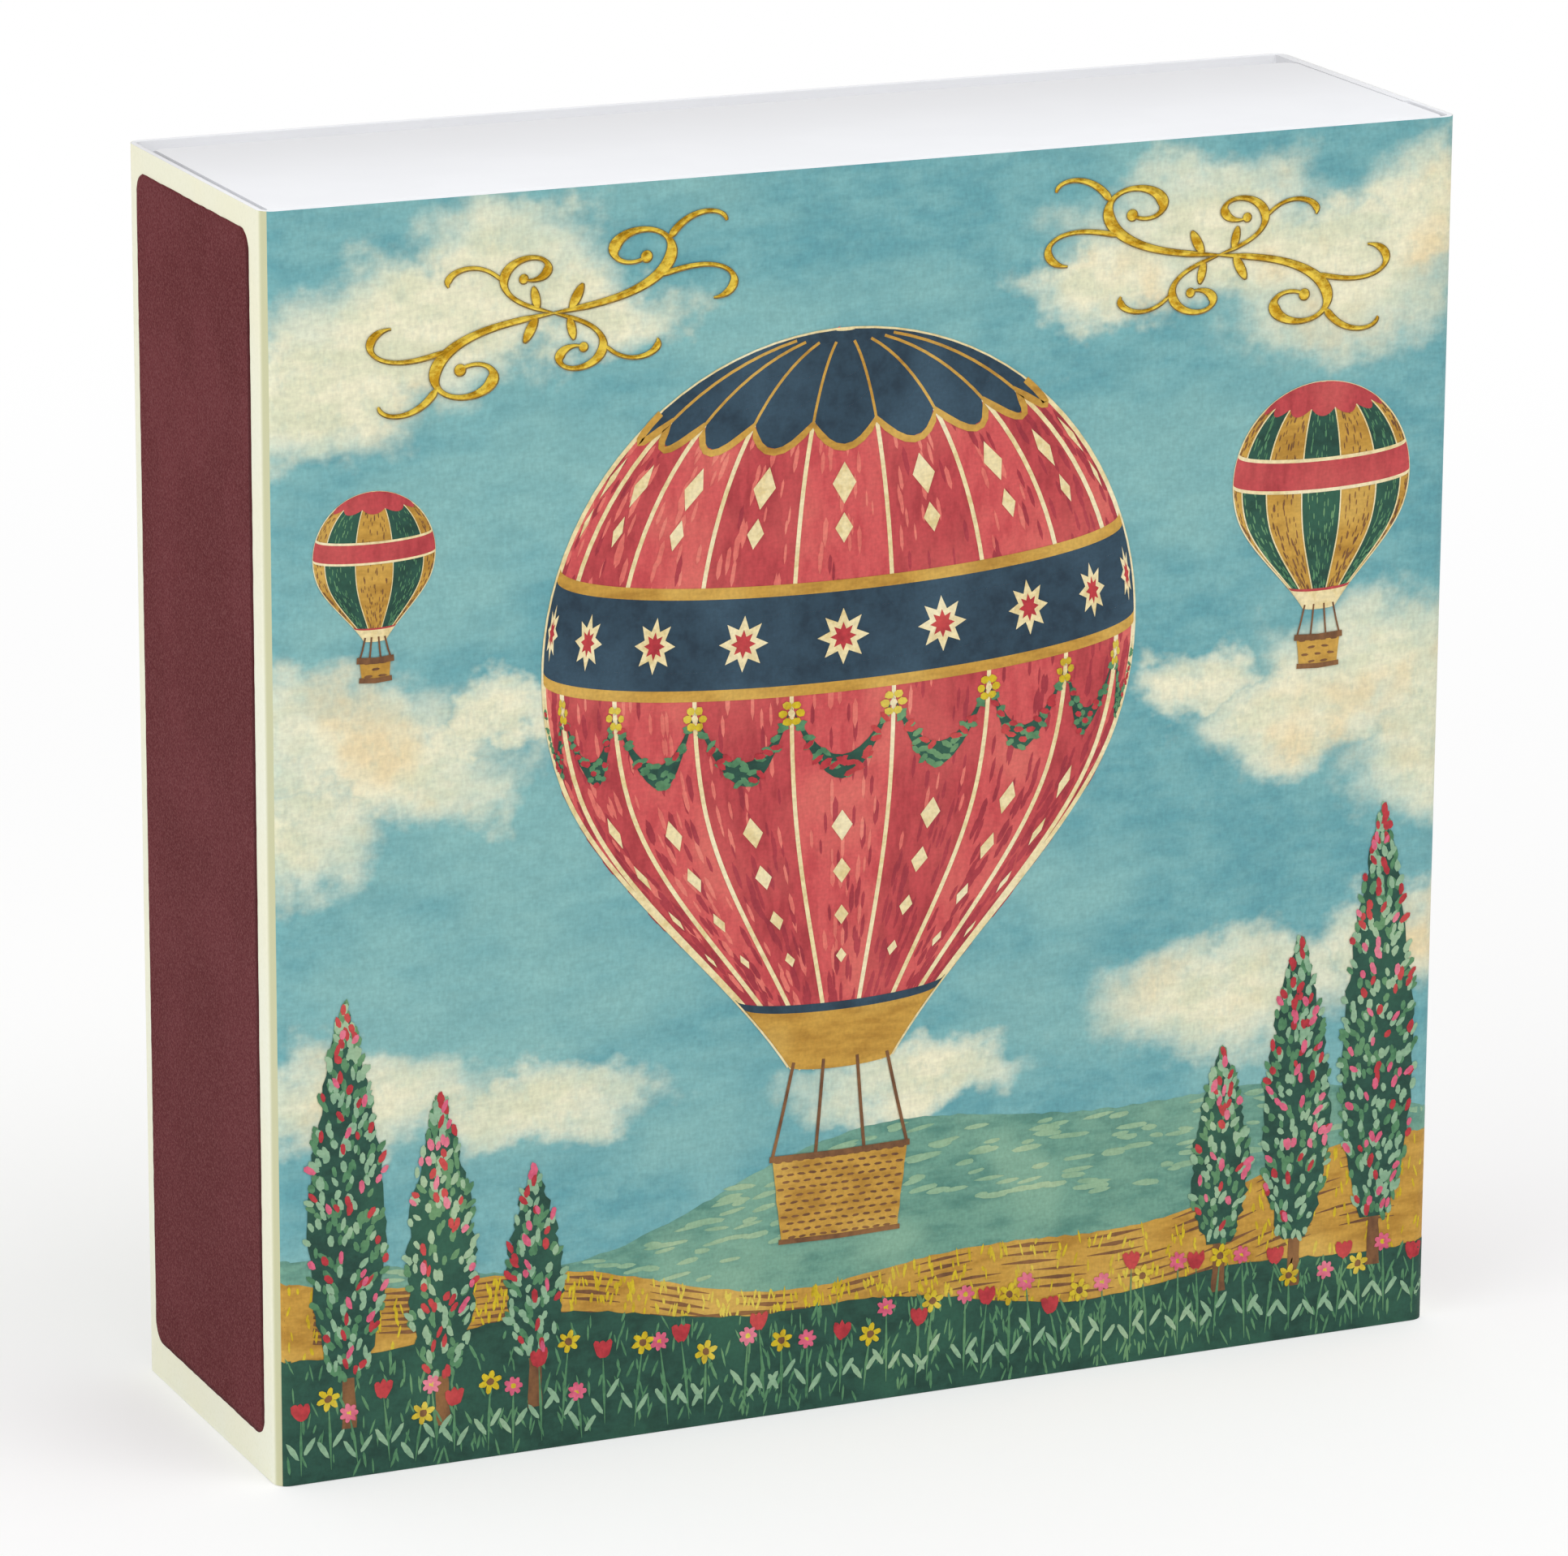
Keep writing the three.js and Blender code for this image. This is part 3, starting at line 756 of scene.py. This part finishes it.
def balloon_steps(high, low):
    """Heights from high down to low, closer together near the top, where the balloon curves in."""
    out = [high]
    if high > CONE:
        a, b = math.asin(high), math.asin(max(low, CONE))
        n = math.ceil((a - b) / math.radians(4))
        out = [math.sin(a + (b - a) * i / n) for i in range(n + 1)]
    start = out[-1]
    n = math.ceil((start - low) / 0.045)
    return out + [start + (low - start) * i / n for i in range(1, n + 1)]


def build_balloon(x, z, r, s, gores, trims=True):
    """A striped balloon with bands round its crown, middle and mouth. trims add swags, stars and seams."""
    top, half_turn, dip, stitch = 0.9995, 90.0, 0.13, 0.014 * r
    around = gores * 8

    def at(turn, t, u=0.0, v=0.0):
        """The place on the picture of a point on the balloon, turn degrees round it and t times r above its
        middle, then u to the right and v up, times r."""
        turn += math.degrees(u * r / max(0.05 * r, balloon_width(t, r)))
        a, w = math.radians(max(-half_turn, min(half_turn, turn))), balloon_width(t + v, r)
        return (x + w * math.sin(a), z + (t + v) * r - dip * w * math.cos(a))

    def ring(height):
        """A line round the balloon. height gives t from how many gores it has passed."""
        return [at(-half_turn + 2 * half_turn * i / around, height(i / 8)) for i in range(around + 1)]

    ts = balloon_steps(top, MOUTH)
    s["body"].poly([at(half_turn, t) for t in ts] + [at(-half_turn, t) for t in reversed(ts)])
    turns = [-half_turn + 2 * half_turn * k / gores for k in range(gores + 1)]
    for k in range(1, gores, 2):
        s["gore"].strip([at(turns[k], t) for t in ts], [at(turns[k + 1], t) for t in ts])
    for k in range(gores):
        middle = (turns[k] + turns[k + 1]) / 2
        for t in ts[3:-2]:
            for _ in range(3):
                turn = middle + rng.uniform(-7.5, 7.5) * 9 / gores
                place, end = at(turn, t + rng.uniform(-0.02, 0.02)), at(turn, t - 0.05)
                light = 0.8 * math.cos(math.radians(turn + 28)) + 0.35 * t
                lit = rng.random() < (light - 0.25) * 1.3 if trims else k % 2
                size = rng.uniform(0.05, 0.10) * r
                angle = math.atan2(end[1] - place[1], end[0] - place[0])
                s["touch" if lit else "shade"].dab(*place, size, rng.uniform(0.14, 0.22) * size, angle, 6)
    for turn in turns[1:-1]:
        s["seam"].line([at(turn, t) for t in ts], stitch)
    edge = half_turn - 1.0
    s["seam"].line([at(-edge, t) for t in reversed(ts)] + [at(edge, t) for t in ts], stitch)

    def scallop(u):
        return 0.07 * abs(math.sin(math.pi * u))

    def band(sheet, high, low, wave=0.0):
        """A ring round the balloon, in rows that follow its outline. wave scallops its lower edge."""
        lines = []
        for t in balloon_steps(high, low):
            share = wave * (high - t) / (high - low)
            lines.append(ring(lambda u: t - scallop(u) * share))
        for upper, lower in zip(lines, lines[1:]):
            sheet.strip(lower, upper)

    band(s["dark"], top, 0.80, wave=1.0)
    band(s["dark"], 0.30, 0.02)
    band(s["trim"], 0.335, 0.30)
    band(s["trim"], 0.02, -0.015)
    band(s["trim"], -1.13, MOUTH)
    band(s["dark"], -1.10, -1.13)
    if not trims:
        return
    s["trim_line"].line(ring(lambda u: 0.79 - scallop(u)), 0.022 * r)
    for turn in turns[1:-1]:
        s["trim_line"].line([at(turn, t) for t in balloon_steps(0.985, 0.788)], 0.009 * r)
    for k in range(gores):
        middle = (turns[k] + turns[k + 1]) / 2
        for size, key in ((0.088, "star"), (0.045, "heart")):
            star = []
            for i in range(16):
                a, reach = math.pi / 8 * i, size * (1.0 if i % 2 == 0 else 0.55)
                star.append(at(middle, 0.16, reach * math.cos(a), reach * math.sin(a)))
            s[key].poly(star)
        # height and half width of each lozenge
        rows = ((0.62, 0.040), (0.49, 0.030), (-0.46, 0.036), (-0.62, 0.030), (-0.78, 0.024), (-0.93, 0.018))
        for row, w in rows:
            s["star"].poly([at(middle, row, u, 1.5 * v) for u, v in ((-w, 0), (0, -w), (w, 0), (0, w))])
        swag = []
        for i in range(13):
            u = i / 12
            turn = turns[k] + (turns[k + 1] - turns[k]) * u
            deep = 4 * u * (1 - u)
            swag.append((at(turn, -0.05 - 0.17 * deep), at(turn, -0.05 - 0.25 * deep)))
        s["swag"].strip([lower for _, lower in swag], [upper for upper, _ in swag])
        squeeze = max(0.2, math.cos(math.radians(middle)))
        for (ax, az), (bx, bz) in swag[1:-1]:
            for _ in range(3):
                u = rng.random()
                which = s["swag_leaf" if rng.random() < 0.7 else "heart"]
                place = (ax + (bx - ax) * u, az + (bz - az) * u)
                which.dab(*place, 0.045 * r * squeeze, 0.02 * r, rng.uniform(-0.8, 0.8), 6)
    for turn in turns[1:-1]:
        squeeze = max(0.3, math.cos(math.radians(turn)))
        for i in range(6):
            a = math.pi / 3 * i
            place = at(turn, -0.07, 0.03 * math.cos(a), 0.03 * math.sin(a))
            s["petal"].dab(*place, 0.034 * r * squeeze, 0.026 * r, 0, 7)
        s["star"].dab(*at(turn, -0.07), 0.026 * r * squeeze, 0.026 * r, 0, 7)


def build_basket(x, z, r, s, wide, tall):
    """The wicker basket under a balloon, with its ropes, weave and rims."""
    mouth = z + MOUTH * r
    top = mouth - 0.30 * r
    for k in (-1, -0.36, 0.36, 1):
        start, end = (x + k * 0.16 * r, mouth + 0.3), (x + k * wide, top)
        s["rope"].line([start, ((start[0] + end[0]) / 2, (mouth + top) / 2), end], max(0.16, 0.011 * r))
    foot, low = wide * 0.86, top - tall
    s["wicker"].poly(rough_edge([(x - wide, top), (x - foot, low), (x + foot, low), (x + wide, top)], 0.05))
    rows = max(3, int(tall / 0.62))
    for j in range(rows):
        t = (j + 0.5) / rows
        half = wide * (1 - 0.14 * t)
        n = int(half * 2)
        for i in range(n):
            px = x - half + (i + 0.5 + 0.5 * (j % 2)) * 2 * half / n
            if px < x + half - 0.2:
                s["weave"].dab(px, top - tall * t, 0.78, 0.26, rng.uniform(-0.12, 0.12), 6)
    for down, w in ((0.0, 0.55), (tall, 0.45)):
        half = wide * (1 - 0.14 * down / tall) + 0.25
        s["rim"].line([(x - half, top - down), (x, top - down - 0.12), (x + half, top - down)], w)


def build_flowers(inks, shapes):
    """A border of meadow flowers on long stems along the bottom edge."""
    stems = Sheet(9)
    for k in range(46):
        x = -52.5 + 105.5 * k / 45 + rng.uniform(-0.7, 0.7)
        base, tall, lean = rng.uniform(0.5, 1.6), rng.uniform(4.2, 8.2), rng.uniform(-0.9, 0.9)
        px, pz = x + lean, base + tall
        stems.line([(x, base), (x + lean * 0.4, base + tall * 0.5), (px, pz)], 0.28, 0.3)
        for side in (-1, 1):
            up = base + tall * rng.uniform(0.25, 0.5)
            shapes["light"].dab(x + side * 0.75, up, 1.9, 0.5, math.pi / 2 - side * 0.6, 8)
        if k % 3 == 0:
            for a in (-0.5, 0.0, 0.5):
                shapes["red"].dab(px + a * 0.8, pz + 0.5, 1.7, 0.75, math.pi / 2 - a * 0.7, 9)
        else:
            # petals, first angle, reach, length and width of each petal, and the eye
            look = (6, 0.3, 0.62, 0.95, 0.55, 0.7) if k % 3 == 1 else (7, 0.0, 0.5, 0.8, 0.5, 0.5)
            petals, first, reach, length, width, eye = look
            for i in range(petals):
                a = 2 * math.pi * i / petals + first
                place = (px + reach * math.cos(a), pz + reach * math.sin(a))
                shapes["yellow" if k % 3 == 1 else "pink"].dab(*place, length, width, a, 8)
            shapes["heart" if k % 3 == 1 else "yellow"].dab(px, pz, eye, eye, 0, 8)
    stems.done("picture_stems", inks["leaf"])


def flourish(sheet, x, z, mirror, extra=0.0, aside=0.0, down=0.0):
    """A wide, flat ornament of two crossing double scrolls with tendrils and leaves, in thick and thin
    strokes. extra widens each stroke and leaves it flat, and aside and down shift it, for the painted
    shade at a pressed edge."""
    wide, flat, lean = 1.22, 0.80, 0.16
    rise = 0.0 if extra else ROUND

    def place(px, pz):
        return (x + aside + mirror * (px * wide + pz * lean), z - down + pz * flat)

    def curl(start, heading, length, turn, power=1.0, n=70):
        """A line that turns by turn degrees, more and more tightly."""
        px, pz = start
        out = [start]
        for i in range(n):
            a = math.radians(heading + turn * ((i + 0.5) / n) ** (power + 1))
            px, pz = px + math.cos(a) * length / n, pz + math.sin(a) * length / n
            out.append((px, pz))
        return out

    def pen(points, thin, thick):
        """A stroke of a broad pen, thick where it slants and thin where it lies along the pen."""
        spots = [place(*p) for p in points]
        n = len(spots)
        left, right, ridge = [], [], []
        for i, (px, pz) in enumerate(spots):
            a, b = spots[max(0, i - 1)], spots[min(n - 1, i + 1)]
            dx, dz = b[0] - a[0], b[1] - a[1]
            d = math.hypot(dx, dz)
            slant = abs(mirror * dx / d * 0.42 + dz / d * 0.91)
            ends = min(1.0, 0.25 + 7 * min(i, n - 1 - i) / (n - 1))
            w = (thin + (thick - thin) * slant ** 2.5) / 2 * ends + extra
            left.append((px - dz / d * w, pz + dx / d * w))
            right.append((px + dz / d * w, pz - dx / d * w))
            ridge.append(rise * w)
        sheet.strip(right, spots, right_rise=ridge)
        sheet.strip(spots, left, left_rise=ridge)

    def petal(start, long, fat, heading):
        """A pointed leaf that grows from start."""
        px, pz = place(*start)
        c, s = math.cos(math.radians(heading)), math.sin(math.radians(heading))
        ring = []
        for i in range(24):
            u = math.pi * 2 * i / 24
            along = long / 2 * (1 - math.cos(u)) - extra * math.cos(u)
            across = (fat / 2 * abs(math.sin(u)) ** 1.3 + extra) * (1 if u < math.pi else -1)
            ring.append((px + mirror * (along * c - across * s), pz + along * s + across * c))
        sheet.dome(ring, rise * fat / 2)

    def bead(spot, radius):
        sheet.dome(arc(*place(*spot), radius + extra, 0, 340, 17), rise * radius)

    for way, side in ((0, 1), (180, -1)):
        main = curl((0, 0), 10 + way, 21, 400, 1.3)
        second = curl((0, 0), -24 + way, 13.5, -375, 1.2)
        pen(main, 0.32, 0.98)
        pen(second, 0.28, 0.75)
        pen(curl(main[26], 22 + way, 9.5, -200, 1.2, 40), 0.26, 0.68)
        pen(curl(main[40], 70 + way, 6.0, -150, 0.8, 30), 0.26, 0.62)
        pen(curl(second[30], -50 + way, 6.0, 170, 1.0, 30), 0.24, 0.55)
        bead(main[-1], 0.48)
        bead(second[-1], 0.38)
        petal((side * 1.2, side * 0.2), 2.4, 0.8, 62 + way)
        petal((side * 1.2, side * -0.5), 2.0, 0.7, -78 + way)


# Each ink: its name, main, darker and lighter tone, and the size of its brush streaks
INKS = {
    "sea": ("ink sea green", "6d9c8a", "4d8074", "8db59c", (3.0, 3.0, 1.0)),
    "mint": ("ink mint", "8fb291", "7aa183", "b3c8a0", (2.0, 2.0, 0.8)),
    "ochre": ("ink ochre", "c4963e", "a47628", "d9b25c", (3.0, 3.0, 0.9)),
    "green": ("ink dark green", "265042", "1a3d33", "33644e", (1.6, 1.6, 1.1)),
    "leaf": ("ink leaf green", "568860", "3d6e4c", "77a070", (1.0, 1.0, 1.0)),
    "bark": ("ink bark brown", "7d5534", "5e3d28", "9a6d3f", (0.8, 0.8, 1.6)),
    "yellow": ("ink yellow", "d0b71e", "b3920f", "e6d264", (0.8, 0.8, 1.6)),
    "coral": ("ink coral", "cf5656", "bb4146", "dd7568", (0.9, 0.9, 2.6)),
    "brick": ("ink deep coral", "bd4549", "9f3339", "cc5c58", (0.9, 0.9, 2.6)),
    "rose": ("ink light coral", "df7468", "cf5f58", "ea8f7d", (0.9, 0.9, 2.6)),
    "wine": ("ink wine red", "a5353f", "8d2a36", "b94850", (0.9, 0.9, 2.6)),
    "slate": ("ink slate blue", "2a4252", "1d3140", "3d586a", (1.5, 1.5, 1.5)),
    "cream": ("ink pale cream", "ead9a8", "d8c083", "f4ebcb", (0.9, 0.9, 0.9)),
    "pink": ("ink pink", "d9637f", "c14a68", "ec94a0", (0.8, 0.8, 0.8)),
    "red": ("ink red", "b8343c", "98262f", "d4564f", (0.8, 0.8, 0.8)),
}
# Each sheet of a balloon: its layer, and its ink on the large and on the small balloons
BALLOON_SHEETS = {
    "body": (3, "coral", "ochre"), "gore": (4, "brick", "green"), "shade": (5, "wine", "bark"),
    "touch": (5, "rose", "leaf"), "seam": (6, "cream", "cream"), "dark": (7, "slate", "brick"),
    "trim": (7, "ochre", "cream"), "trim_line": (8, "ochre", "ochre"), "star": (9, "cream", "cream"),
    "heart": (10, "red", "red"), "swag": (8, "green", "green"), "swag_leaf": (9, "leaf", "leaf"),
    "petal": (11, "yellow", "yellow"), "rope": (9, "bark", "bark"), "wicker": (10, "ochre", "ochre"),
    "weave": (11, "bark", "bark"), "rim": (12, "bark", "bark"),
}
# Each sheet of leaves and blossom: its layer and its ink
TOUCH_SHEETS = {"leaf": (9, "leaf"), "light": (10, "mint"), "red": (11, "red"), "pink": (12, "pink"),
                "yellow": (12, "yellow"), "heart": (13, "bark")}
# x, height and radius of each balloon, number of gores, half width and height of its basket
LARGE = ((-3.0, 68.5, 27.5, 9, 6.4, 7.6),)
SMALL = ((42.5, 79.0, 8.6, 7, 2.1, 2.6), (-45.5, 80.5, 5.4, 5, 1.4, 1.7))


def build_picture():
    """The printed picture: balloons over rolling fields, with flowers, trees and gilt scrolls."""
    inks = {key: paper_ink(*look) for key, look in INKS.items()}
    build_sky()
    build_land(inks)
    shapes = {key: Sheet(layer) for key, (layer, _) in TOUCH_SHEETS.items()}
    build_poplars(inks, shapes)
    build_flowers(inks, shapes)
    for key, (_, ink) in TOUCH_SHEETS.items():
        shapes[key].done("picture_touches_" + key, inks[ink])

    for which, (name, balloons) in enumerate((("balloon_", LARGE), ("small_balloon_", SMALL))):
        sheets = {key: Sheet(look[0]) for key, look in BALLOON_SHEETS.items()}
        for x, z, r, gores, wide, tall in balloons:
            build_balloon(x, z, r, sheets, gores, trims=balloons is LARGE)
            build_basket(x, z, r, sheets, wide, tall)
        for key, sheet in sheets.items():
            if sheet.v:
                sheet.done("picture_" + name + key, inks[BALLOON_SHEETS[key][1 + which]])

    # The shade sheet is painted shade: each scroll again under the gold, wider, shifted aside and down.
    gold, shade = Sheet(15), Sheet(14)
    for x, mirror in ((-29.5, 1), (32.0, -1)):
        flourish(shade, x, 99.6, mirror, extra=0.08, aside=0.03, down=0.05)
        flourish(gold, x, 99.6, mirror)
    shade.done("picture_painted_foil_shade", painted_foil_shade())
    gold.done("picture_gold_scrolls", foil())


def build_scene():
    card, cream, grit = white_card(), cream_ink(), striker_grit()
    build_sleeve(card, cream)
    build_striker("coat_left", -1, grit)
    build_striker("coat_right", 1, grit)
    tray = tray_ends(card)
    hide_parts("tray")
    tray_wall("tray_wall_left", -1, card)
    tray_wall("tray_wall_right", 1, card)
    build_matches(aspen(), match_head())
    build_picture()


# The floor, the light and the camera
def floor_paint():
    """A white floor. What the camera sees of it fades to plain white away from the object. The fade lights
    nothing, and near the object the floor keeps its shadow."""
    f = Finish("floor", 0.9, 0.1)
    f.shader.inputs["Base Color"].default_value = linear("fbfbfb")
    away = f.add("VectorMath", {0: f.place}, "Value", operation="LENGTH")
    links = {"Value": away, "From Min": 0.07, "From Max": 0.45, "To Min": 0.35, "To Max": 1.0}
    fade = f.add("MapRange", links, interpolation_type="SMOOTHSTEP")
    camera = f.add("LightPath", {}, "Is Camera Ray")
    share = f.add("Math", {0: camera, 1: fade}, operation="MULTIPLY")
    white = f.add("Emission", {"Color": "ffffff", "Strength": 1.0})
    mixed = f.add("MixShader", {0: share, 1: f.shader.outputs[0], 2: white})
    f.tree.links.new(mixed, f.tree.nodes["Material Output"].inputs["Surface"])
    return f.material


def light_world():
    """Soft white light from all round, brighter from above. The camera sees plain white."""
    world = bpy.data.worlds.new("studio")
    bpy.context.scene.world = world
    world.use_nodes = True
    tree = world.node_tree
    tree.nodes.clear()
    place = add(tree, "TexCoord", {}, "Generated")
    height = add(tree, "SeparateXYZ", {0: place}, "Z")
    strength = add(tree, "MapRange", {"Value": height, "To Min": 0.39, "To Max": 0.85})
    lit = add(tree, "Background", {"Color": "ffffff", "Strength": strength})
    shown = add(tree, "Background", {"Color": "ffffff", "Strength": 1.0})
    camera = add(tree, "LightPath", {}, "Is Camera Ray")
    mixed = add(tree, "MixShader", {0: camera, 1: lit, 2: shown})
    tree.links.new(mixed, tree.nodes.new("ShaderNodeOutputWorld").inputs["Surface"])


def stage_and_light():
    mesh = bpy.data.meshes.new("floor")
    mesh.from_pydata([(-6, -6, 0), (6, -6, 0), (6, 6, 0), (-6, 6, 0)], [], [(0, 1, 2, 3)])
    mesh.materials.append(floor_paint())
    floor = put("floor", mesh)
    light_world()

    lamps = (("key", (0.35, -0.75, 1.5), 1.0, 9.2), ("fill", (-1.45, -0.5, 0.6), 1.2, 8.2))
    for name, at, size, power in lamps:
        lamp = bpy.data.lights.new(name, "AREA")
        lamp.size, lamp.energy = size, power
        o = put(name, lamp)
        o.location = at
        o.rotation_euler = (Vector((0, 0, 0.05)) - Vector(at)).to_track_quat("-Z", "Y").to_euler()

    lens = bpy.data.cameras.new("camera")
    lens.sensor_width, lens.lens = 36.0, 180.16
    lens.clip_start, lens.clip_end = 0.05, 20
    cam = put("camera", lens)
    cam.location = (-0.2692, -0.6044, 0.2363)
    yaw, pitch, roll = (math.radians(a) for a in (-23.921, -15.542, -0.293))
    turn = Matrix.Rotation(yaw, 3, "Z") @ Matrix.Rotation(pitch, 3, "X") @ Matrix.Rotation(roll, 3, "Y")
    right, forward, up = turn @ Vector((1, 0, 0)), turn @ Vector((0, 1, 0)), turn @ Vector((0, 0, 1))
    cam.rotation_euler = Matrix((right, up, -forward)).transposed().to_euler()
    bpy.context.scene.camera = cam
    bpy.context.scene.view_settings.view_transform = "Standard"


build_scene()
stage_and_light()
